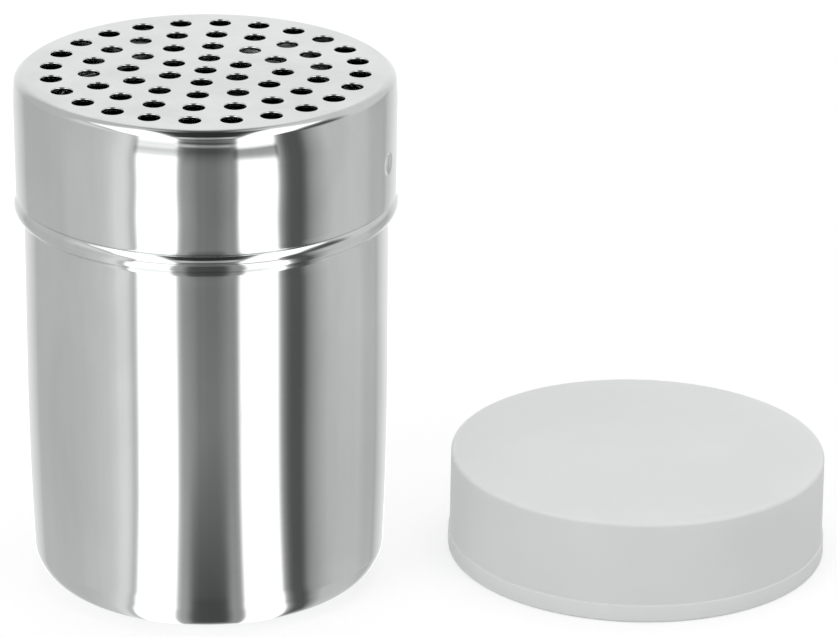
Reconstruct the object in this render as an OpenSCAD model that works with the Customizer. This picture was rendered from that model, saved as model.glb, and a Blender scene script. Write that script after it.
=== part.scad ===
// A steel shaker for seasoning: a drawn beaker, a perforated push-on cap, and a
// thin plastic dust cover that lies beside it. Millimetres, +Z up. The origin is
// on the beaker's axis, where its flat base stands on the table.

/* [Beaker] */
// Outer diameter of the beaker's straight wall
body_d = 67; // [56:0.5:84]
// Thickness of the beaker's sheet
body_t = 0.6; // [0.4:0.05:0.9]
// Radius of the corner between the wall and the base
base_corner_r = 6.6; // [3:0.1:10]
// How far the wall draws in by the time it meets the base corner
base_taper = 0.73; // [0:0.01:1.5]
// Height at which the wall starts to draw in
taper_h = 34; // [14:1:55]

/* [Bead and neck] */
// Height of the bead's centre line
bead_h = 73.3; // [60:0.1:95]
// Outer radius of the bead's round cross-section
bead_r = 2; // [1.5:0.1:2.6]
// How far the bead stands out past the cap's lip
bead_proud = 0.4; // [0:0.05:0.8]
// Radius of the hollow where the bead runs out into the wall
bead_fillet_r = 1; // [0.5:0.1:2]
// How far the neck stands out from the straight wall
neck_step = 0.3; // [0.1:0.05:0.5]
// Height of the neck's rim above the bead's centre line
neck_h = 15.7; // [13:0.1:19]

/* [Cap] */
// Height of the cap from its lip to its top
cap_h = 23.1; // [21:0.1:32]
// Thickness of the cap's sheet
cap_t = 0.6; // [0.4:0.05:0.9]
// How much wider the cap is at its top than at its lip, on the radius
cap_taper = 0.2; // [0:0.05:0.5]
// Radius of the cap's rounded top edge
cap_edge_r = 2.2; // [1.2:0.1:3.5]
// Diameter of each seasoning hole
hole_d = 4.1; // [2:0.1:4.6]
// Number of rings of holes round the middle one
hole_rings = 4; // [1:1:4]
// Least distance from a hole to the cap's outer wall
hole_margin = 4.75; // [4:0.05:8]
// Turn of the hole pattern about the axis, in degrees
hole_turn = 27.3; // [0:0.1:60]

/* [Grip dimples] */
// Diameter of each pressed dimple
dimple_d = 4.4; // [3.6:0.1:5.5]
// Height of the dimples' centres above the lip
dimple_h = 8.75; // [5:0.05:9.5]
// Number of dimples, spaced evenly
dimple_count = 2; // [2:1:4]
// Place of the first dimple about the axis, in degrees
dimple_turn = -16; // [-180:1:180]

/* [Dust cover] */
// Height of the cover
cover_h = 19.7; // [12:0.1:22]
// Thickness of the cover's wall
cover_t = 0.5; // [0.4:0.05:1]
// Radius of the cover's top edge
cover_edge_r = 0.7; // [0.4:0.1:0.9]
// Height of the band round the cover's open rim
rim_band_h = 3.4; // [2:0.1:6]
// How far that band stands out from the cover's wall
rim_band_out = 0.3; // [0.1:0.05:0.6]
// Free space between the cover and the bead, where the cover lies on the table
cover_space = 10.5; // [2:0.5:60]
// Direction in which the cover lies, in degrees
cover_turn = 7.7; // [-180:0.1:180]

/* [Clearances] */
// Space between the neck and the cap's bore, on the radius at the lip
neck_gap = 0.4; // [0.3:0.05:0.6]
// Space between the cap's lip and the bead that it seats on
seat_gap = 0.05; // [0.02:0.01:0.2]
// Space between a dimple's tip and the neck
dimple_fit = 0.05; // [0.02:0.01:0.1]
// Space between the cover's bore and the cap, on the radius
cover_fit = 0.1; // [0.05:0.05:0.4]

/* [Hidden] */
$fn = 128;

// How far a cutting shape runs past what it cuts
past = 1;

// Radii, each from the one before it
body_r = body_d / 2;
base_r = body_r - base_taper;
neck_r = body_r + neck_step;
lip_bore_r = neck_r + neck_gap;
lip_r = lip_bore_r + cap_t;
cap_r = lip_r + cap_taper;
cover_bore_r = cap_r + cover_fit;
cover_r = cover_bore_r + cover_t;
rim_band_r = cover_r + rim_band_out;

// The bead, and the small hollow where the neck leaves it inside the cap
bead_out_r = lip_r + bead_proud;
bead_c = bead_out_r - bead_r;
neck_fillet_r = 0.75 * neck_gap;

// Heights: the cap's rounded lip touches down on the bead's shoulder
neck_rim_z = bead_h + neck_h - body_t / 2;
lip_c = lip_r - cap_t / 2;
lip_reach = bead_r + cap_t / 2 + seat_gap;
lip_z = bead_h + sqrt(pow(lip_reach, 2) - pow(lip_c - bead_c, 2));
cap_top_z = lip_z - cap_t / 2 + cap_h;
cap_edge_z = cap_top_z - cap_edge_r;

// The holes' rings are evenly spaced from the middle to the margin
ring_pitch = (cap_r - hole_margin - hole_d / 2) / hole_rings;

// A dimple is a dent of spherical shape that reaches in to the neck
dimple_z = lip_z - cap_t / 2 + dimple_h;
dimple_wall_r = lip_r + cap_taper * (dimple_z - lip_z) / (cap_edge_z - lip_z);
dimple_tip_r = neck_r + dimple_fit;
dimple_depth = dimple_wall_r - cap_t - dimple_tip_r;
dimple_ball_r = (pow(dimple_d / 2, 2) + pow(dimple_depth, 2)) / (2 * dimple_depth);
dimple_c = dimple_tip_r + cap_t + dimple_ball_r;

// The cover lies on the table clear of the beaker
cover_away = bead_out_r + cover_space + rim_band_r;
rim_corner_r = rim_band_h / 4;

module steel() {
    color([0.76, 0.77, 0.78])
        children();
}

module frosted() {
    color([0.90, 0.91, 0.90])
        children();
}

// Hollow between the bead and an upright wall: side is 1 above the bead, -1 below
module bead_runout(wall_r, hollow_r, side, inset) {
    c_r = wall_r + hollow_r;
    c_z = bead_h + side * sqrt(pow(bead_r + hollow_r, 2) - pow(c_r - bead_c, 2));
    middle = [bead_c, bead_h];
    outside = [c_r, c_z];
    inside = [bead_c - bead_r, c_z];
    difference() {
        polygon(side > 0 ? [middle, outside, inside] : [middle, inside, outside]);
        translate(outside)
            circle(r = hollow_r + inset);
    }
}

// Half section of the beaker's outside, drawn in by inset and with the neck cut at top
module body_outline(inset, top) {
    flat_r = base_r - base_corner_r;
    translate([0, inset])
        square([flat_r, base_corner_r - inset]);
    translate([flat_r, base_corner_r])
        circle(r = base_corner_r - inset);
    polygon([
        [0, base_corner_r],
        [base_r - inset, base_corner_r],
        [body_r - inset, taper_h],
        [body_r - inset, bead_h],
        [0, bead_h]
    ]);
    translate([bead_c, bead_h])
        circle(r = bead_r - inset);
    bead_runout(body_r, bead_fillet_r, -1, inset);
    bead_runout(neck_r, neck_fillet_r, 1, inset);
    translate([0, bead_h])
        square([neck_r - inset, top - bead_h]);
}

// Half-round edge of a sheet: side is 1 for an edge that faces up, -1 for one that faces down
module round_edge(r, z, sheet_t, side) {
    translate([r, z])
        intersection() {
            circle(r = sheet_t / 2);
            translate([-sheet_t, side > 0 ? 0 : -sheet_t])
                square([2 * sheet_t, sheet_t]);
        }
}

module shaker_body() {
    steel()
        rotate_extrude() {
            difference() {
                body_outline(0, neck_rim_z);
                body_outline(body_t, neck_rim_z + past);
            }
            round_edge(neck_r - body_t / 2, neck_rim_z, body_t, 1);
        }
}

// Half section of the cap's outside, drawn in by inset and open below at bottom
module cap_outline(inset, bottom) {
    flat_r = cap_r - cap_edge_r;
    polygon([
        [0, bottom],
        [lip_r - inset, bottom],
        [lip_r - inset, lip_z],
        [cap_r - inset, cap_edge_z],
        [0, cap_edge_z]
    ]);
    translate([0, cap_edge_z])
        square([flat_r, cap_edge_r - inset]);
    translate([flat_r, cap_edge_z])
        circle(r = cap_edge_r - inset);
}

module cap_shell() {
    rotate_extrude() {
        difference() {
            cap_outline(0, lip_z);
            cap_outline(cap_t, lip_z - past);
        }
        round_edge(lip_c, lip_z, cap_t, -1);
    }
}

// One hole in the middle, and six more in each ring than in the ring inside it
module hole_pattern() {
    translate([0, 0, cap_top_z - cap_t - past]) {
        cylinder(d = hole_d, h = cap_t + 2 * past);
        for (ring = [1 : hole_rings], i = [0 : 6 * ring - 1])
            rotate(hole_turn + i * 60 / ring)
                translate([ring * ring_pitch, 0])
                    cylinder(d = hole_d, h = cap_t + 2 * past);
    }
}

module at_dimples() {
    for (i = [0 : dimple_count - 1])
        rotate(dimple_turn + i * 360 / dimple_count)
            translate([dimple_c, 0, dimple_z])
                children();
}

module perforated_cap() {
    steel()
        difference() {
            union() {
                cap_shell();
                intersection() {
                    at_dimples()
                        sphere(r = dimple_ball_r + cap_t);
                    translate([0, 0, dimple_z - dimple_d])
                        cylinder(r = dimple_wall_r - cap_t / 2, h = 2 * dimple_d);
                }
            }
            at_dimples()
                sphere(r = dimple_ball_r);
            hole_pattern();
        }
}

// Half section of the cover's outside
module cover_outline() {
    flat_r = cover_r - cover_edge_r;
    square([cover_r, cover_h - cover_edge_r]);
    square([flat_r, cover_h]);
    translate([flat_r, cover_h - cover_edge_r])
        circle(r = cover_edge_r);
    translate([0, rim_corner_r])
        square([rim_band_r, rim_band_h - rim_corner_r]);
    square([rim_band_r - rim_corner_r, rim_band_h]);
    translate([rim_band_r - rim_corner_r, rim_corner_r])
        circle(r = rim_corner_r);
}

module dust_cover() {
    frosted()
        rotate(cover_turn)
            translate([cover_away, 0])
                rotate_extrude()
                    difference() {
                        cover_outline();
                        translate([0, -past])
                            square([cover_bore_r, cover_h - cover_t + past]);
                    }
}

shaker_body();
perforated_cap();
dust_cover();
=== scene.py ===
import math

import bmesh
import bpy
import numpy as np
from mathutils import Matrix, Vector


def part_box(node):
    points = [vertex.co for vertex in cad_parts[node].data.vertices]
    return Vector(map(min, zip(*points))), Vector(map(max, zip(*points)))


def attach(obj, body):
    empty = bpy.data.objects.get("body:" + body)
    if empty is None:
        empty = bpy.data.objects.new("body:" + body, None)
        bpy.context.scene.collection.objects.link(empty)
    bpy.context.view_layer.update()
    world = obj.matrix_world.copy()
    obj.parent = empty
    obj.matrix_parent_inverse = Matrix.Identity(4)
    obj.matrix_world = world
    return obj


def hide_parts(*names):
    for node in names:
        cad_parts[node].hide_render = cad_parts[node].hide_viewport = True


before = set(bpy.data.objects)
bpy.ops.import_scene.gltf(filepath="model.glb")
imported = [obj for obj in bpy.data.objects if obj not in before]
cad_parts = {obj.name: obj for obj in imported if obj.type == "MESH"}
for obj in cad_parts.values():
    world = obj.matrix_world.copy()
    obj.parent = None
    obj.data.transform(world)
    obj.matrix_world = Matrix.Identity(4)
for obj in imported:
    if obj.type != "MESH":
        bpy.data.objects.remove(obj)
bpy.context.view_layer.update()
print("frame loaded:", ", ".join(sorted(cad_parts)))

mm = 0.001
sameSpot = 1e-4             # neighbouring points of a line that are this near, in millimetres, become one
weldReach = 1e-6            # and so do corners of a mesh that are this near, in metres
edgeHold = 0.1              # a straight run has one more point this far from each end, to keep its shading flat

_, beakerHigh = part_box("shaker_body")
capLow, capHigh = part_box("perforated_cap")
coverLow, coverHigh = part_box("dust_cover")


# Tools for drawing half sections: rows of (radius, height), in millimetres

def arcRun(middle, radius, start, end, count):
    # Points on a circle: middle + radius * (cos e, sin e), e going from start to end in degrees
    e = np.radians(np.linspace(start, end, count))
    return np.column_stack([middle[0] + radius * np.cos(e), middle[1] + radius * np.sin(e)])


def straightRun(start, end, count, hold=edgeHold):
    # Evenly spaced points on a line: start + t * (end - start)
    share = hold / math.dist(start, end)
    t = np.sort(np.concatenate([np.linspace(0, 1, count), [share, 1 - share]]))
    return np.array(start) + t[:, None] * (np.array(end) - np.array(start))


def joinRuns(*runs):
    # One line of points from several, leaving out points that repeat
    points = np.vstack(runs)
    apart = np.hypot(*np.diff(points, axis=0).T) > sameSpot
    return points[np.concatenate([[True], apart])]


def inwardOffset(line, thickness, upwards=True):
    # Each point moved by thickness against the outward normal, which is (dz, -dr) where the line climbs the outside
    step = np.gradient(line, axis=0) * (1 if upwards else -1)
    normal = np.column_stack([step[:, 1], -step[:, 0]])
    normal /= np.hypot(*normal.T)[:, None]
    return line - thickness * normal


# Tools for making meshes

def evenTurns(columns):
    return np.linspace(0, 2 * math.pi, columns, endpoint=False)


def turnedGrid(line, turns):
    # x = r cos(turn), y = r sin(turn), z = z; turns holds one row for all heights, or a row for each height
    turns = np.broadcast_to(turns, (len(line), np.shape(turns)[-1]))
    r = line[:, :1]
    return np.stack([r * np.cos(turns), r * np.sin(turns), np.broadcast_to(line[:, 1:], turns.shape)], -1)


def ringFaces(rows, columns):
    # Four-sided faces between neighbouring rows of a grid that closes on itself sideways
    i, j = np.meshgrid(np.arange(rows - 1) * columns, np.arange(columns), indexing="ij")
    k = (j + 1) % columns
    return np.stack([i + j, i + k, i + columns + k, i + columns + j], -1).reshape(-1, 4)


def makePiece(name, points, faces, material, body, node):
    # Millimetre points become a closed, smooth piece that stands for its CAD node
    mesh = bpy.data.meshes.new(name)
    mesh.from_pydata((points * mm).tolist(), [], faces.tolist())
    work = bmesh.new()
    work.from_mesh(mesh)
    bmesh.ops.remove_doubles(work, verts=work.verts, dist=weldReach)
    bmesh.ops.recalc_face_normals(work, faces=work.faces)
    work.to_mesh(mesh)
    work.free()
    mesh.shade_smooth()
    mesh.materials.append(material)
    piece = bpy.data.objects.new(name, mesh)
    bpy.context.scene.collection.objects.link(piece)
    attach(piece, body)
    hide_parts(node)
    return piece


# Tools for node trees

def addNode(tree, kind, inputs=(), **settings):
    node = tree.nodes.new(kind)
    for key, value in settings.items():
        setattr(node, key, value)
    for key, value in dict(inputs).items():
        if isinstance(value, bpy.types.NodeSocket):
            tree.links.new(value, node.inputs[key])
        else:
            node.inputs[key].default_value = value
    return node


def calculate(tree, operation, first, *others):
    # One maths node, or a chain of them where there are more than two values
    if not others:
        return addNode(tree, "ShaderNodeMath", {0: first}, operation=operation).outputs[0]
    for other in others:
        first = addNode(tree, "ShaderNodeMath", {0: first, 1: other}, operation=operation).outputs[0]
    return first


def remap(tree, value, fromLow, fromHigh, toLow=0.0, toHigh=1.0, kind="LINEAR"):
    inputs = {"Value": value, "From Min": fromLow, "From Max": fromHigh, "To Min": toLow, "To Max": toHigh}
    return addNode(tree, "ShaderNodeMapRange", inputs, interpolation_type=kind).outputs["Result"]


def blend(tree, factor, a, b, kind="FLOAT"):
    # a where factor is 0, and b where it is 1
    return addNode(tree, "ShaderNodeMix", {"Factor": factor, "A": a, "B": b}, data_type=kind).outputs["Result"]


def levelRamp(tree, value, stops):
    # A grey ramp through (place, level) stops
    low, high = stops[0][0], stops[-1][0]
    top = max(level for _, level in stops)
    ramp = addNode(tree, "ShaderNodeValToRGB", {"Fac": remap(tree, value, low, high)})
    marks = ramp.color_ramp.elements
    for place, _ in stops[1:-1]:
        marks.new((place - low) / (high - low))
    for mark, (_, level) in zip(marks, stops):
        mark.color = (level / top, level / top, level / top, 1)
    return calculate(tree, "MULTIPLY", ramp.outputs["Color"], top)


def noiseField(tree, place, stretch, turn=(0, 0, 0), **settings):
    # Noise that is finer along the axes where stretch is larger
    inputs = {"Vector": place, "Rotation": turn, "Scale": stretch}
    mapped = addNode(tree, "ShaderNodeMapping", inputs).outputs["Vector"]
    return addNode(tree, "ShaderNodeTexNoise", {"Vector": mapped, "Scale": 1.0, **settings}).outputs["Fac"]


def startMaterial(name):
    material = bpy.data.materials.new(name)
    material.use_nodes = True
    tree = material.node_tree
    place = addNode(tree, "ShaderNodeTexCoord").outputs["Object"]
    return material, tree, tree.nodes["Principled BSDF"], place


# Polished steel

steelLook = {
    "colour": (0.785, 0.80, 0.795, 1),
    "wipedColour": (0.695, 0.71, 0.705, 1),
    "wipedTint": 0.78,               # share of the wiped colour that the wiping marks bring
    "streakTint": 0.22,              # and the upright streaks
    "roughness": (0.035, 0.07),      # of clean and of wiped places
    "lineRoughness": 0.02,           # added by the polishing lines
    "scratchRoughness": 0.04,
    "topRoughness": 0.16,            # added on the cap's flat top
    "topSkin": (0.0002, 0.00002),    # how far below the top that starts, and is full, in metres
    "lineDepth": 0.004,              # strength of the bump
    "bumpDistance": 0.0001,
    "scratchDepth": -0.6,            # against the polishing lines' 1
    # Left by the polishing wheel, which runs round the axis, so they are drawn out sideways
    "lines": {"stretch": (14, 14, 2600), "Detail": 3.0, "Roughness": 0.65},
    "lineRange": (0.4, 0.75),
    # Broad, faint wiping marks
    "wipes": {"stretch": (52, 52, 24), "Detail": 4.0, "Roughness": 0.55, "Distortion": 0.6},
    "wipeRange": (0.35, 0.7),
    "wipeTintRange": (0.38, 0.66),
    # Faint upright streaks that darken the colour a little
    "streaks": {"stretch": (420, 420, 8), "Detail": 2.0},
    "streakRange": (0.3, 0.7),
    # A few short hair scratches, which are the noise's highest places
    "hairs": {"stretch": (900, 60, 60), "turn": (0.5, 0.9, 0.3), "Detail": 1.0},
    "hairRange": (0.71, 0.76),
}


def steelMaterial(name, look, topHeight=None):
    material, tree, shader, place = startMaterial(name)
    fields = ("lines", "wipes", "streaks", "hairs")
    lines, wipes, streaks, hairs = (noiseField(tree, place, **look[key]) for key in fields)
    rough = calculate(
        tree, "ADD",
        remap(tree, wipes, *look["wipeRange"], *look["roughness"]),
        remap(tree, lines, *look["lineRange"], 0, look["lineRoughness"]),
        remap(tree, hairs, *look["hairRange"], 0, look["scratchRoughness"]),
    )
    if topHeight is not None:
        height = addNode(tree, "ShaderNodeSeparateXYZ", {"Vector": place}).outputs["Z"]
        start, full = (topHeight - depth for depth in look["topSkin"])
        rough = calculate(tree, "ADD", rough, remap(tree, height, start, full, 0, look["topRoughness"]))
    shade = calculate(
        tree, "ADD",
        remap(tree, wipes, *look["wipeTintRange"], 0, look["wipedTint"]),
        remap(tree, streaks, *look["streakRange"], 0, look["streakTint"]),
    )
    relief = calculate(tree, "ADD", lines, remap(tree, hairs, *look["hairRange"], 0, look["scratchDepth"]))
    bump = addNode(tree, "ShaderNodeBump", {
        "Height": relief, "Strength": look["lineDepth"], "Distance": look["bumpDistance"],
    })
    shader.inputs["Metallic"].default_value = 1.0
    tree.links.new(blend(tree, shade, look["colour"], look["wipedColour"], "RGBA"), shader.inputs["Base Color"])
    tree.links.new(rough, shader.inputs["Roughness"])
    tree.links.new(bump.outputs["Normal"], shader.inputs["Normal"])
    return material


beakerSteel = steelMaterial("beakerSteel", steelLook)
capSteel = steelMaterial("capSteel", steelLook, capHigh.z)


# Frosted plastic of the dust cover

plasticLook = {
    "colour": (0.745, 0.765, 0.755, 1),
    "thinColour": (0.775, 0.79, 0.785, 1),
    "roughness": (0.42, 0.58),
    "grainRoughness": 0.06,
    "grainDepth": 0.06,              # strength of the bump
    "bumpDistance": 0.0001,
    "scatter": 0.35,
    "scatterReach": 0.003,
    "refraction": 1.5,
    "clouds": {"stretch": (55, 55, 55), "Detail": 3.0},
    "cloudRange": (0.3, 0.7),
    "grain": {"stretch": (2600, 2600, 2600), "Detail": 2.0},
}


def plasticMaterial(name, look):
    material, tree, shader, place = startMaterial(name)
    clouds, grain = (noiseField(tree, place, **look[key]) for key in ("clouds", "grain"))
    tint = blend(tree, remap(tree, clouds, *look["cloudRange"]), look["colour"], look["thinColour"], "RGBA")
    rough = calculate(
        tree, "ADD",
        remap(tree, clouds, *look["cloudRange"], *look["roughness"]),
        calculate(tree, "MULTIPLY", grain, look["grainRoughness"]),
    )
    bump = addNode(tree, "ShaderNodeBump", {
        "Height": grain, "Strength": look["grainDepth"], "Distance": look["bumpDistance"],
    })
    tree.links.new(tint, shader.inputs["Base Color"])
    tree.links.new(rough, shader.inputs["Roughness"])
    tree.links.new(bump.outputs["Normal"], shader.inputs["Normal"])
    shader.inputs["Subsurface Weight"].default_value = look["scatter"]
    shader.inputs["Subsurface Radius"].default_value = (1.0, 1.0, 1.0)
    shader.inputs["Subsurface Scale"].default_value = look["scatterReach"]
    shader.inputs["IOR"].default_value = look["refraction"]
    return material


frostedPlastic = plasticMaterial("frostedPlastic", plasticLook)
print("materials ready")


# The beaker

beaker = {
    "columns": 256,
    "sheet": 0.6,
    "wallRadius": 33.5,
    "bendHeight": 41.0,         # above this the wall is straight
    "bend": 0.00062,            # the wall draws in by bend times the square of the drop below that height
    "cornerRadius": 6.6,
    "cornerEnd": -2.45,         # tilt of the wall where the base corner begins, in degrees
    "baseHold": 0.15,
    "beadMiddle": (33.184, 73.3),
    "beadRadius": 2.0,
    "swellHeight": 67.9,        # from here the wall swells slightly towards the bead
    "swell": 0.005,             # by swell times the square of the rise above that height
    "settling": 6,              # rounds of working out where the swell meets the hollow
    "hollowRadius": 1.0,
    "neckRadius": 33.8,
    "neckHollow": 0.3,
    "rows": {
        "base": 10, "corner": 34, "bend": 22, "wall": 6, "swell": 10,
        "hollow": 16, "bead": 46, "neckHollow": 8, "neck": 6, "rim": 9,
    },
}


def beakerOutside(b):
    rows, wallRadius = b["rows"], b["wallRadius"]
    # Base and corner
    tilt = math.radians(b["cornerEnd"])
    lowZ = b["cornerRadius"] * (1 + math.sin(tilt))
    lowR = wallRadius - b["bend"] * (b["bendHeight"] - lowZ) ** 2
    cornerMiddle = (lowR - b["cornerRadius"] * math.cos(tilt), b["cornerRadius"])
    base = straightRun((0, 0), (cornerMiddle[0], 0), rows["base"], b["baseHold"])
    corner = arcRun(cornerMiddle, b["cornerRadius"], -90, b["cornerEnd"], rows["corner"])
    # Wall: r = wallRadius - bend * drop^2, and then r = wallRadius + swell * rise^2
    wallZ = np.concatenate([
        np.linspace(lowZ, b["bendHeight"], rows["bend"]),
        np.linspace(b["bendHeight"], b["swellHeight"], rows["wall"])[1:],
    ])
    drop = np.clip(b["bendHeight"] - wallZ, 0, None)
    wall = np.column_stack([wallRadius - b["bend"] * drop ** 2, wallZ])
    middleR, middleZ = b["beadMiddle"]
    reach = b["beadRadius"] + b["hollowRadius"]
    swellTop, slope = 0.0, 0.0
    for _ in range(b["settling"]):
        hollowR = wallRadius + swellTop + b["hollowRadius"] * math.cos(slope)
        hollowZ = middleZ - math.sqrt(reach ** 2 - (hollowR - middleR) ** 2)
        joinZ = hollowZ + b["hollowRadius"] * math.sin(slope)
        swellTop = b["swell"] * (joinZ - b["swellHeight"]) ** 2
        slope = math.atan(2 * b["swell"] * (joinZ - b["swellHeight"]))
    swellZ = np.linspace(b["swellHeight"], joinZ, rows["swell"])
    swell = np.column_stack([wallRadius + b["swell"] * (swellZ - b["swellHeight"]) ** 2, swellZ])
    # Hollow, bead, small hollow and neck
    lowJoin = math.degrees(math.atan2(hollowZ - middleZ, hollowR - middleR))
    hollowStart, hollowEnd = 180 - math.degrees(slope), 180 + lowJoin
    hollow = arcRun((hollowR, hollowZ), b["hollowRadius"], hollowStart, hollowEnd, rows["hollow"])
    neckHollowR = b["neckRadius"] + b["neckHollow"]
    neckHollowZ = middleZ + math.sqrt((b["beadRadius"] + b["neckHollow"]) ** 2 - (neckHollowR - middleR) ** 2)
    highJoin = math.degrees(math.atan2(neckHollowZ - middleZ, neckHollowR - middleR))
    bead = arcRun(b["beadMiddle"], b["beadRadius"], lowJoin, highJoin, rows["bead"])
    neckCurl = arcRun((neckHollowR, neckHollowZ), b["neckHollow"], 180 + highJoin, 180, rows["neckHollow"])
    neckEnd = (b["neckRadius"], beakerHigh.z / mm - b["sheet"] / 2)
    neck = straightRun((b["neckRadius"], neckHollowZ), neckEnd, rows["neck"])
    return joinRuns(base, corner, wall, swell, hollow, bead, neckCurl, neck)


def makeBeaker(b):
    outside = beakerOutside(b)
    inside = inwardOffset(outside, b["sheet"])
    inside[0] = (0, b["sheet"])
    rim = arcRun((outside[-1] + inside[-1]) / 2, b["sheet"] / 2, 0, 180, b["rows"]["rim"])
    line = joinRuns(outside, rim, inside[::-1])
    points = turnedGrid(line, evenTurns(b["columns"])).reshape(-1, 3)
    faces = ringFaces(len(line), b["columns"])
    return makePiece("beaker", points, faces, beakerSteel, "shaker", "shaker_body")


beakerPiece = makeBeaker(beaker)
print("beaker made:", len(beakerPiece.data.polygons), "faces")


# The perforated cap

cap = {
    "columns": 288,
    "sheet": 0.6,
    "topRadius": 34.93,         # widest place of the skirt, just under the rounded edge
    "lobes": 4,                 # the two dents squeeze the cap into this many faint lobes
    "outOfRound": 0.15,
    "lobeTurn": -84.0,
    "ripples": 9,               # faint waves left in the drawn skirt
    "ripple": 0.012,
    "rippleLength": 13.0,
    "roundFade": 1.2,           # width of flat top over which lobes and ripples fade out
    "skirtTilt": -0.55,         # the skirt narrows towards the lip, in degrees
    "edgeRadius": 1.7,
    "edgeEase": 8.0,            # tilt where the rounded edge hands over to a long, easy bend, in degrees
    "easeLength": 6.0,
    "fineSteps": 4000,          # steps in which the edge and the bend are added up
    "curlLength": 1.1,          # the last millimetre above the lip leans in
    "curlTilt": -3.6,
    "topGuard": 1.5,            # rows this near the top keep their height when the lip is set down
    "holeRadius": 2.0,
    "holeRim": 0.2,             # rounding that the punch leaves round each hole
    "rimGuard": 0.1,            # flat ring round that
    "cellShare": 0.55,          # how round the cell's second row is
    "burr": (0.07, 0.02),       # the hole's sharper lower edge: its size, and its corner's
    "pitch": 7.05,
    "rings": 4,
    "holeTurn": 27.3,
    "dentTurn": -16.0,
    "dentHeight": 8.75,         # above the lip
    "dentRadius": 2.05,
    "dentDepth": 0.4,
    "dentSpan": 2.8,            # rows are closer this far above and below the dents
    "wallFrom": 30.0,           # only what is farther out is dented
    "crowding": 0.8,            # how strongly the columns gather at the two dents
    "crowdStart": 1.8,          # below the top
    "crowdLength": 5.6,
    "rows": {
        "flat": 3, "edge": 26, "ease": 22, "skirt": 7, "dent": 21, "low": 5,
        "curl": 7, "lip": 10, "cellSide": 12, "holeRim": 5,
    },
}


def cellsEnd(c):
    # Radius of the circle round the outermost ring of cells
    return c["pitch"] * (c["rings"] + 0.5)


def capOutside(c, topZ, lipZ):
    # The section follows its own tilt: r grows by sin(tilt) and z falls by cos(tilt) for each step along it
    rows = c["rows"]
    edgeSpan = np.linspace(0, math.radians(90 - c["edgeEase"]) * c["edgeRadius"], rows["edge"])
    edgeTilt = 90 - np.degrees(edgeSpan / c["edgeRadius"])
    easeSpan = np.linspace(0, c["easeLength"], rows["ease"])[1:]
    easeTilt = c["skirtTilt"] + (c["edgeEase"] - c["skirtTilt"]) * (1 - easeSpan / c["easeLength"]) ** 2
    span = np.concatenate([edgeSpan, edgeSpan[-1] + easeSpan])
    fine = np.linspace(0, span[-1], c["fineSteps"])
    tilt = np.interp(fine, span, np.concatenate([edgeTilt, easeTilt]))
    step = np.diff(fine)
    half = np.radians((tilt[1:] + tilt[:-1]) / 2)
    r = np.concatenate([[0], np.cumsum(np.sin(half) * step)])
    z = np.concatenate([[0], -np.cumsum(np.cos(half) * step)])
    flatRadius = c["topRadius"] - r.max()
    bent = np.column_stack([flatRadius + np.interp(span, fine, r), topZ + np.interp(span, fine, z)])
    flat = straightRun((cellsEnd(c), topZ), (flatRadius, topZ), rows["flat"])
    # Straight skirt with closer rows across the dents
    bentR, bentZ = bent[-1]
    dentHigh, dentLow = (lipZ + c["dentHeight"] + away for away in (c["dentSpan"], -c["dentSpan"]))
    curlZ = lipZ + c["sheet"] / 2 + c["curlLength"]
    skirtZ = np.concatenate([
        np.linspace(bentZ, dentHigh, rows["skirt"])[1:],
        np.linspace(dentHigh, dentLow, rows["dent"])[1:],
        np.linspace(dentLow, curlZ, rows["low"])[1:],
    ])
    lean = math.tan(math.radians(-c["skirtTilt"]))
    skirt = np.column_stack([bentR - lean * (bentZ - skirtZ), skirtZ])
    # Over the curl the lean grows evenly, so r falls by a square
    drop = np.linspace(0, c["curlLength"], rows["curl"])[1:]
    extra = math.tan(math.radians(-c["curlTilt"])) - lean
    curl = np.column_stack([skirt[-1, 0] - lean * drop - extra * drop ** 2 / (2 * c["curlLength"]), curlZ - drop])
    return joinRuns(flat, bent, skirt, curl)


def denseTurns(c, line, topZ):
    # Columns gather towards the dents by -crowding * sin(2 (turn - dentTurn)) / 2, growing as the skirt goes down
    turns = np.radians(c["holeTurn"]) + evenTurns(c["columns"])
    share = np.clip((topZ - line[:, 1:] - c["crowdStart"]) / c["crowdLength"], 0, 1)
    share = share * share * (3 - 2 * share)
    return turns - share * c["crowding"] * np.sin(2 * (turns - math.radians(c["dentTurn"]))) / 2


def pressDents(c, grid, lipZ):
    # Each wall point moves towards the axis by depth * (1 - q^4)^1.5,
    # q being its distance from a dent over the dent's radius
    r = np.hypot(grid[..., 0], grid[..., 1])
    turn = np.arctan2(grid[..., 1], grid[..., 0])
    for away in (0, 180):
        side = np.angle(np.exp(1j * (turn - math.radians(c["dentTurn"] + away)))) * r
        q = np.hypot(side, grid[..., 2] - lipZ - c["dentHeight"]) / c["dentRadius"]
        push = np.where(r > c["wallFrom"], c["dentDepth"] * np.clip(1 - q ** 4, 0, 1) ** 1.5, 0)
        grid[..., 0] -= push * np.cos(turn)
        grid[..., 1] -= push * np.sin(turn)
    return grid


def squeezeRound(c, grid):
    # r grows by outOfRound * cos(lobes (turn - lobeTurn)) + ripple * cos(ripples turn) * sin(2 pi z / rippleLength),
    # fading out on the flat top just outside the holes
    r = np.hypot(grid[..., 0], grid[..., 1])
    turn = np.arctan2(grid[..., 1], grid[..., 0])
    share = np.clip((r - cellsEnd(c)) / c["roundFade"], 0, 1)
    lobe = c["outOfRound"] * np.cos(c["lobes"] * (turn - math.radians(c["lobeTurn"])))
    wave = c["ripple"] * np.cos(c["ripples"] * turn) * np.sin(2 * math.pi * grid[..., 2] / c["rippleLength"])
    grow = (lobe + wave) * share
    grid[..., 0] += grow * np.cos(turn)
    grid[..., 1] += grow * np.sin(turn)
    return grid


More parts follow.
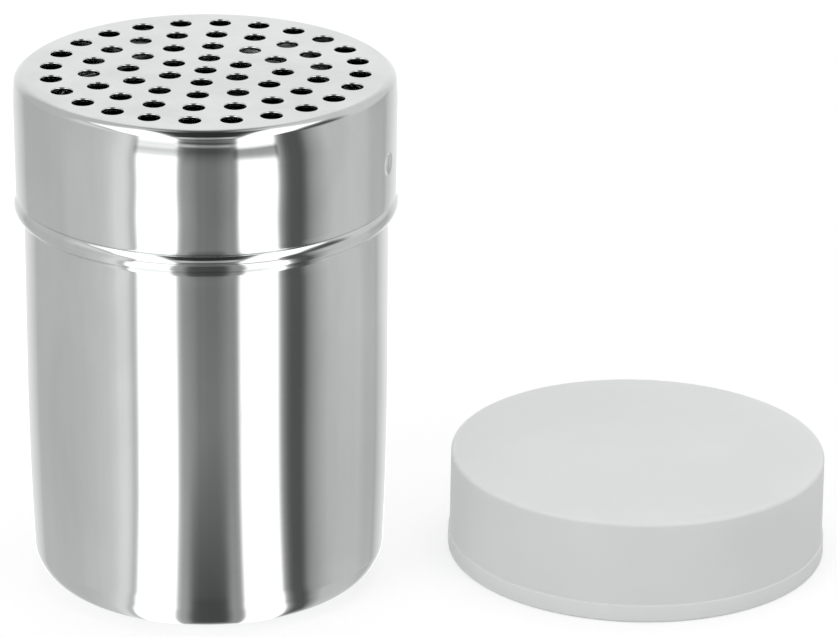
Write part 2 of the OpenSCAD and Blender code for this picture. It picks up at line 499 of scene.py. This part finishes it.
def cellRows(c, topZ):
    # Rows of one hole's cell, from its border in to the hole, down through the sheet and out again underneath:
    # (share, radius, height), share being 0 on the border and 1 on a circle of that radius round the hole
    hole, rim, low = c["holeRadius"], c["holeRim"], topZ - c["sheet"]
    burr, corner = c["burr"]
    rows = [(0, 0, topZ), (c["cellShare"], hole + rim, topZ), (1, hole + rim + c["rimGuard"], topZ)]
    for a in np.radians(np.linspace(0, 90, c["rows"]["holeRim"])):
        rows.append((1, hole + rim * (1 - math.sin(a)), topZ - rim * (1 - math.cos(a))))
    rows += [(1, hole, low + burr), (1, hole + corner, low + corner), (1, hole + burr, low), (0, 0, low)]
    return np.array(rows)


def cellBorder(c, ring):
    # Corner points of a ring's cell: a sector between two circles, with 6 * ring of them side by side
    near, far, side = (ring - 0.5) * c["pitch"], (ring + 0.5) * c["pitch"], c["rows"]["cellSide"]
    count, half = c["columns"] // (6 * ring), math.pi / (6 * ring)
    radius = np.concatenate([
        np.linspace(near, far, side, endpoint=False), np.full(count, far),
        np.linspace(far, near, side, endpoint=False), np.full(count, near),
    ])
    angle = np.concatenate([
        np.full(side, -half), np.linspace(-half, half, count, endpoint=False),
        np.full(side, half), np.linspace(half, -half, count, endpoint=False),
    ])
    return radius[:, None] * np.column_stack([np.cos(angle), np.sin(angle)])


def holeCells(c, topZ, ring):
    # point = share * (middle + radius * aim) + (1 - share) * border, turned to each place; ring 0 is the middle hole
    if ring == 0:
        aim, middle, turns = evenTurns(c["columns"]), np.zeros(2), np.zeros(1)
        border = c["pitch"] / 2 * np.column_stack([np.cos(aim), np.sin(aim)])
    else:
        border, middle, turns = cellBorder(c, ring), np.array([ring * c["pitch"], 0.0]), evenTurns(6 * ring)
        aim = np.arctan2(border[:, 1], border[:, 0] - middle[0])
    share, radius, height = cellRows(c, topZ).T[..., None]
    circle = middle + radius[..., None] * np.column_stack([np.cos(aim), np.sin(aim)])
    flat = share[..., None] * circle + (1 - share[..., None]) * border
    turns = turns[:, None, None] + math.radians(c["holeTurn"])
    x = flat[..., 0] * np.cos(turns) - flat[..., 1] * np.sin(turns)
    y = flat[..., 0] * np.sin(turns) + flat[..., 1] * np.cos(turns)
    points = np.stack([x, y, np.broadcast_to(height, x.shape)], -1).reshape(-1, 3)
    starts = np.arange(len(turns)) * len(height) * len(aim)
    return points, (ringFaces(len(height), len(aim)) + starts[:, None, None]).reshape(-1, 4)


def makeCap(c):
    topZ, lipZ = capHigh.z / mm, capLow.z / mm
    outside = capOutside(c, topZ, lipZ)
    inside = inwardOffset(outside, c["sheet"], upwards=False)
    inside[0] = (outside[0, 0], topZ - c["sheet"])
    lipStart, lipEnd = c["curlTilt"], c["curlTilt"] - 180
    lip = arcRun((outside[-1] + inside[-1]) / 2, c["sheet"] / 2, lipStart, lipEnd, c["rows"]["lip"])
    line = joinRuns(outside, lip, inside[::-1])
    # The lip is set down on the CAD lip's height
    lowered = line[:, 1] + lipZ - lip[:, 1].min()
    line[:, 1] = np.where(lowered > topZ - c["topGuard"], line[:, 1], lowered)
    grid = squeezeRound(c, pressDents(c, turnedGrid(line, denseTurns(c, line, topZ)), lipZ))
    parts = [(grid.reshape(-1, 3), ringFaces(len(line), c["columns"]))]
    parts += [holeCells(c, topZ, ring) for ring in range(c["rings"] + 1)]
    starts = np.cumsum([0] + [len(points) for points, _ in parts])
    points = np.vstack([points for points, _ in parts])
    faces = np.vstack([faces + start for (_, faces), start in zip(parts, starts)])
    return makePiece("perforatedCap", points, faces, capSteel, "cap", "perforated_cap")


capPiece = makeCap(cap)
print("cap made:", len(capPiece.data.polygons), "faces")


# The dust cover

cover = {
    "columns": 256,
    "radius": (35.5, 35.4),     # outside, above the band and at the top
    "bore": (35.1, 35.0),       # inside, at the rim and at the top
    "topSheet": 0.5,
    "edgeRadius": 0.7,
    "innerEdge": 0.3,
    "bandRadius": 35.8,
    "bandHeight": 3.42,
    "bandEdge": 0.12,
    "bandHollow": 0.12,
    "bandHold": 0.25,           # the wall's last row is this far above the band
    "footRadius": 0.5,
    "boreEdge": 0.12,
    "rows": {
        "top": 12, "edge": 12, "wall": 10, "hollow": 5, "bandEdge": 6,
        "band": 4, "foot": 10, "boreEdge": 5, "innerEdge": 7,
    },
}


def makeCover(v):
    rows, topZ = v["rows"], coverHigh.z / mm
    middle = (coverLow + coverHigh) / 2 / mm
    low, high = v["radius"]
    edge, foot, band, bandZ = v["edgeRadius"], v["footRadius"], v["bandRadius"], v["bandHeight"]
    hollow, corner = v["bandHollow"], v["bandEdge"]
    outside = joinRuns(
        straightRun((0, topZ), (high - edge, topZ), rows["top"]),
        arcRun((high - edge, topZ - edge), edge, 90, 0, rows["edge"]),
        straightRun((high, topZ - edge), (low, bandZ + v["bandHold"]), rows["wall"]),
        arcRun((low + hollow, bandZ + hollow), hollow, 180, 270, rows["hollow"]),
        arcRun((band - corner, bandZ - corner), corner, 90, 0, rows["bandEdge"]),
        straightRun((band, bandZ - corner), (band, foot), rows["band"]),
        arcRun((band - foot, foot), foot, 0, -90, rows["foot"]),
    )
    boreLow, boreHigh = v["bore"]
    innerTop, inner, mouth = topZ - v["topSheet"], v["innerEdge"], v["boreEdge"]
    inside = joinRuns(
        arcRun((boreLow + mouth, mouth), mouth, 270, 180, rows["boreEdge"]),
        straightRun((boreLow, mouth), (boreHigh, innerTop - inner), rows["wall"]),
        arcRun((boreHigh - inner, innerTop - inner), inner, 0, 90, rows["innerEdge"]),
        straightRun((boreHigh - inner, innerTop), (0, innerTop), rows["top"]),
    )
    line = joinRuns(outside, inside)
    points = turnedGrid(line, evenTurns(v["columns"])).reshape(-1, 3) + np.array([middle.x, middle.y, 0])
    faces = ringFaces(len(line), v["columns"])
    return makePiece("dustCover", points, faces, frostedPlastic, "cover", "dust_cover")


coverPiece = makeCover(cover)
coverPiece.visible_glossy = False       # the steel mirrors the studio, not the cover beside it
print("cover made:", len(coverPiece.data.polygons), "faces")


# The studio. A direction is side (to the right), depth (away from the camera) and height, each from -1 to 1

studio = {
    "floorSize": 6.0,
    "floorDrop": 0.00002,       # the floor lies this far below the object, in metres
    "floorColour": 0.7,
    "floorShade": (0.5, 0.53),  # the camera sees this much paint and this much even white
    "white": 1.0,               # what the camera sees behind the floor
    "roomLevel": 0.8,           # even light on everything that isn't a mirror
    "bounceLevel": 1.25,        # what the steel throws back onto the cover and the floor
    "turn": 3.06,               # the studio faces the camera, in degrees
    # Place, width and power
    "lamps": {
        "overhead": ((0.1, 0.25, 1.5), 1.3, 3.5),
        "left": ((-0.95, -1.1, 0.7), 0.9, 4.0),
        "right": ((1.2, -1.0, 0.7), 0.9, 1.8),
    },
    # What the mirror steel shows: level by how far across the room a direction points, to the left and to the right
    "leftLevels": [
        (-1.5, 0.56), (-1.1, 0.57), (-1.0, 0.60), (-0.87, 0.68), (-0.83, 0.735), (-0.79, 0.82), (-0.75, 0.835),
        (-0.72, 0.76), (-0.695, 0.60), (-0.675, 0.62), (-0.662, 0.9), (-0.645, 1.5), (-0.313, 1.5), (-0.298, 0.95),
        (-0.283, 0.62), (-0.265, 0.49), (-0.245, 0.41), (-0.21, 0.38), (-0.17, 0.34), (-0.13, 0.30), (-0.09, 0.24),
        (-0.03, 0.24), (0, 0.225),
    ],
    "rightLevels": [
        (0, 0.225), (0.09, 0.228), (0.13, 0.255), (0.22, 0.34), (0.25, 0.325), (0.28, 0.38), (0.297, 0.52),
        (0.315, 1.0), (0.33, 1.5), (0.65, 1.5), (0.665, 0.95), (0.68, 0.52), (0.70, 0.30), (0.73, 0.15),
        (0.76, 0.105), (0.82, 0.10), (0.845, 0.15), (0.87, 0.265), (0.90, 0.37), (0.98, 0.61), (1.1, 0.64),
        (1.25, 0.64), (1.35, 0.56), (1.5, 0.52),
    ],
    # The panels run over the object and draw together towards the back
    "drawTogether": [(-1, 1.0), (-0.5, 1.0), (0, 1.07), (0.29, 1.32), (0.6, 1.94), (0.8, 3.3), (1, 4.0)],
    # They also narrow with height, the outer ones less
    "narrow": [
        (-1, 0.9), (-0.51, 0.9), (-0.463, 0.968), (-0.43, 1.0), (0.05, 1.0), (0.35, 0.85), (1, 0.85),
    ],
    "narrowOuter": [
        (-1, 1.035), (-0.447, 1.037), (-0.387, 1.02), (-0.365, 1.0), (0.05, 1.0), (0.35, 0.85), (1, 0.85),
    ],
    "outerSides": (0.5, 0.83),
    # The lowest directions count by the turn of the steel that mirrors them instead
    "lowDirections": (-0.485, -0.505),
    "sightDepth": 0.93,         # depth of the camera's line of sight
    "leastReach": 0.02,
    "lowLean": 0.08,            # added to the width in the middle, and taken off it at the sides
    "lowWidths": [
        (-1, 1.45), (-0.97, 1.475), (-0.93, 1.495), (-0.86, 1.515), (-0.7, 1.58), (-0.49, 1.6), (1, 1.6),
    ],
    # The gap between the two strip lights by height. It starts at gapOuter and is full at gapInner, which both have
    # a place below gapWidens and one above. It fades out between two depths
    "gapLevels": [
        (-1, 0.34), (-0.505, 0.34), (-0.385, 1.0), (-0.34, 0.88), (-0.262, 0.5), (-0.24, 0.37), (-0.185, 0.36),
        (-0.174, 0.55), (-0.163, 1.5), (-0.14, 1.5), (-0.128, 0.9), (-0.118, 0.27), (-0.105, 0.25), (-0.09, 0.65),
        (-0.04, 0.64), (0, 0.45), (0.1, 0.35), (0.15, 1.1), (0.2, 1.7), (0.46, 1.7), (0.52, 0.14), (1, 0.14),
    ],
    "gapWidens": (-0.4, -0.37),
    "gapOuter": (0.23, 0.36),
    "gapInner": (0.13, 0.2),
    "gapFades": (0.75, 0.45),
    # The strip lights dim at some heights, between their soft outer and inner edges and towards the camera
    "leftDims": [
        (-1, 1.0), (-0.292, 1.0), (-0.27, 0.69), (-0.225, 0.5), (-0.205, 0.62), (-0.177, 0.76),
        (-0.154, 0.68), (-0.12, 0.82), (-0.09, 1.0), (1, 1.0),
    ],
    "rightDims": [
        (-1, 1.0), (-0.325, 1.0), (-0.31, 0.62), (-0.293, 0.37), (-0.276, 0.3), (-0.217, 0.26), (-0.195, 0.7),
        (-0.165, 1.0), (1, 1.0),
    ],
    "stripOuter": (0.69, 0.67),
    "stripInner": (0.25, 0.3),
    "stripFades": (0.1, -0.2),
    # Overhead, towards the back, the panels fade into a ceiling that is even, but for a dark middle
    "ceilingDepths": (-0.1, 0.25),
    "ceilingHeights": (0.0, 0.2),
    "ceilingSides": (-0.3, 0.3),
    "ceilingLevels": (0.6, 0.72),
    "ceilingMiddle": (0.07, 0.22),
    "ceilingDark": 0.12,
    "backdropLevels": [(0.3, 0.02), (0.6, 0.3), (0.64, 0.45), (0.72, 0.66), (0.83, 0.84), (0.936, 0.95), (1, 1.02)],
}


def acrossRoom(tree, s, side, depth, height):
    # side * narrow(height) * drawTogether(depth), or for the lowest directions side * width / reach,
    # reach being the distance from the camera's line of sight, so that this is the turn of the mirroring steel
    wide = calculate(tree, "ABSOLUTE", side)
    narrow, narrowOuter = (levelRamp(tree, height, s[key]) for key in ("narrow", "narrowOuter"))
    narrow = blend(tree, remap(tree, wide, *s["outerSides"]), narrow, narrowOuter)
    stretch = calculate(tree, "MULTIPLY", narrow, levelRamp(tree, depth, s["drawTogether"]))
    forward = calculate(tree, "SUBTRACT", s["sightDepth"], depth)
    squares = [calculate(tree, "MULTIPLY", value, value) for value in (side, forward)]
    reach = calculate(tree, "MAXIMUM", calculate(tree, "SQRT", calculate(tree, "ADD", *squares)), s["leastReach"])
    lean = remap(tree, wide, 0, 1, s["lowLean"], -s["lowLean"])
    width = calculate(tree, "ADD", levelRamp(tree, height, s["lowWidths"]), lean)
    isLow = remap(tree, height, *s["lowDirections"])
    return calculate(tree, "MULTIPLY", side, blend(tree, isLow, stretch, calculate(tree, "DIVIDE", width, reach)))


def panelLevels(tree, s, across, depth, height):
    # The left and right halves share their middle level
    halves = [levelRamp(tree, across, s[key]) for key in ("leftLevels", "rightLevels")]
    panels = calculate(tree, "SUBTRACT", calculate(tree, "ADD", *halves), s["rightLevels"][0][1])
    away = calculate(tree, "ABSOLUTE", across)
    outer, inner = (remap(tree, height, *s["gapWidens"], *s[key]) for key in ("gapOuter", "gapInner"))
    gap = calculate(
        tree, "MULTIPLY",
        remap(tree, away, outer, inner, kind="SMOOTHSTEP"),
        remap(tree, depth, *s["gapFades"], kind="SMOOTHSTEP"),
    )
    gapLevel = blend(tree, gap, 1.0, levelRamp(tree, height, s["gapLevels"]))
    strip = calculate(
        tree, "MULTIPLY",
        remap(tree, away, *s["stripOuter"]), remap(tree, away, *s["stripInner"]),
        remap(tree, depth, *s["stripFades"]),
    )
    isRight = calculate(tree, "GREATER_THAN", across, 0.0)
    dims = blend(tree, isRight, *(levelRamp(tree, height, s[key]) for key in ("leftDims", "rightDims")))
    return calculate(tree, "MULTIPLY", panels, gapLevel, blend(tree, strip, 1.0, dims))


def mirroredRoom(tree, s, side, depth, height):
    panels = panelLevels(tree, s, acrossRoom(tree, s, side, depth, height), depth, height)
    overhead = calculate(
        tree, "MULTIPLY",
        remap(tree, depth, *s["ceilingDepths"], kind="SMOOTHSTEP"), remap(tree, height, *s["ceilingHeights"]),
    )
    ceiling = calculate(
        tree, "MULTIPLY",
        remap(tree, side, *s["ceilingSides"], *s["ceilingLevels"]),
        remap(tree, calculate(tree, "ABSOLUTE", side), *s["ceilingMiddle"], s["ceilingDark"], 1),
    )
    room = blend(tree, overhead, panels, ceiling)
    return calculate(tree, "MAXIMUM", room, levelRamp(tree, depth, s["backdropLevels"]))


def makeWorld(s):
    world = bpy.data.worlds.new("studio")
    bpy.context.scene.world = world
    world.use_nodes = True
    world.cycles.sampling_method = "NONE"
    tree = world.node_tree
    tree.nodes.clear()
    aim = addNode(tree, "ShaderNodeTexCoord").outputs["Generated"]
    turn = (0, 0, math.radians(-s["turn"]))
    aim = addNode(tree, "ShaderNodeMapping", {"Vector": aim, "Rotation": turn}).outputs["Vector"]
    aim = addNode(tree, "ShaderNodeSeparateXYZ", {"Vector": aim}).outputs
    room = mirroredRoom(tree, s, aim["X"], aim["Y"], aim["Z"])
    # The camera sees plain white, a mirror sees the room, and all else an even level
    path = addNode(tree, "ShaderNodeLightPath").outputs
    bounced = calculate(tree, "MAXIMUM", path["Is Glossy Ray"], path["Is Transmission Ray"])
    mirrored = calculate(tree, "MULTIPLY", bounced, calculate(tree, "LESS_THAN", path["Diffuse Depth"], 0.5))
    level = blend(tree, mirrored, remap(tree, bounced, 0, 1, s["roomLevel"], s["bounceLevel"]), room)
    level = blend(tree, path["Is Camera Ray"], level, s["white"])
    light = addNode(tree, "ShaderNodeBackground", {"Color": (1, 1, 1, 1), "Strength": level})
    out = addNode(tree, "ShaderNodeOutputWorld")
    tree.links.new(light.outputs["Background"], out.inputs["Surface"])


def makeFloor(s):
    half = s["floorSize"] / 2
    corners = [(-half, -half, 0), (half, -half, 0), (half, half, 0), (-half, half, 0)]
    mesh = bpy.data.meshes.new("floor")
    mesh.from_pydata(corners, [], [(0, 1, 2, 3)])
    material = bpy.data.materials.new("paleFloor")
    material.use_nodes = True
    tree = material.node_tree
    tree.nodes.clear()
    seen = addNode(tree, "ShaderNodeLightPath").outputs["Is Camera Ray"]
    paintLevel, glowLevel = s["floorShade"]
    paint = addNode(tree, "ShaderNodeBsdfDiffuse", {"Color": remap(tree, seen, 0, 1, s["floorColour"], paintLevel)})
    glow = addNode(tree, "ShaderNodeEmission", {"Strength": calculate(tree, "MULTIPLY", seen, glowLevel)})
    both = addNode(tree, "ShaderNodeAddShader", {0: paint.outputs[0], 1: glow.outputs[0]})
    out = addNode(tree, "ShaderNodeOutputMaterial")
    tree.links.new(both.outputs[0], out.inputs["Surface"])
    mesh.materials.append(material)
    floor = bpy.data.objects.new("floor", mesh)
    bpy.context.scene.collection.objects.link(floor)
    floor.location.z = -s["floorDrop"]
    floor.visible_glossy = False


def makeLamps(s):
    for name, (spot, size, power) in s["lamps"].items():
        data = bpy.data.lights.new(name, "AREA")
        data.shape = "DISK"
        data.size = size
        data.energy = power
        lamp = bpy.data.objects.new(name, data)
        bpy.context.scene.collection.objects.link(lamp)
        lamp.location = spot
        lamp.rotation_euler = (-lamp.location).to_track_quat("-Z", "Y").to_euler()
        lamp.visible_glossy = False
        lamp.visible_camera = False


makeWorld(studio)
makeFloor(studio)
makeLamps(studio)
print("studio lit")


# The camera, solved from the holes and the outlines in the photograph

shot = {
    "place": (0.042668, -0.797841, 0.362457),
    "pitch": 20.659,            # looking down, in degrees
    "roll": 0.613,
    "lens": 199.11,
    "sensorWidth": 36,
    "shift": (-0.02438, -0.06995),
    "clip": (0.01, 50),
}


def makeCamera(v):
    data = bpy.data.cameras.new("camera")
    camera = bpy.data.objects.new("camera", data)
    bpy.context.scene.collection.objects.link(camera)
    pitch, roll = math.radians(v["pitch"]), math.radians(v["roll"])
    right = np.array([math.cos(roll), math.sin(roll) * math.sin(pitch), math.sin(roll) * math.cos(pitch)])
    up = np.array([-math.sin(roll), math.cos(roll) * math.sin(pitch), math.cos(roll) * math.cos(pitch)])
    pose = np.eye(4)
    pose[:3] = np.column_stack([right, up, np.cross(right, up), v["place"]])
    camera.matrix_world = Matrix(pose.tolist())
    data.lens, data.sensor_width, data.sensor_fit = v["lens"], v["sensorWidth"], "HORIZONTAL"
    data.shift_x, data.shift_y = v["shift"]
    data.clip_start, data.clip_end = v["clip"]
    bpy.context.scene.camera = camera


makeCamera(shot)
bpy.context.scene.view_settings.view_transform = "Standard"
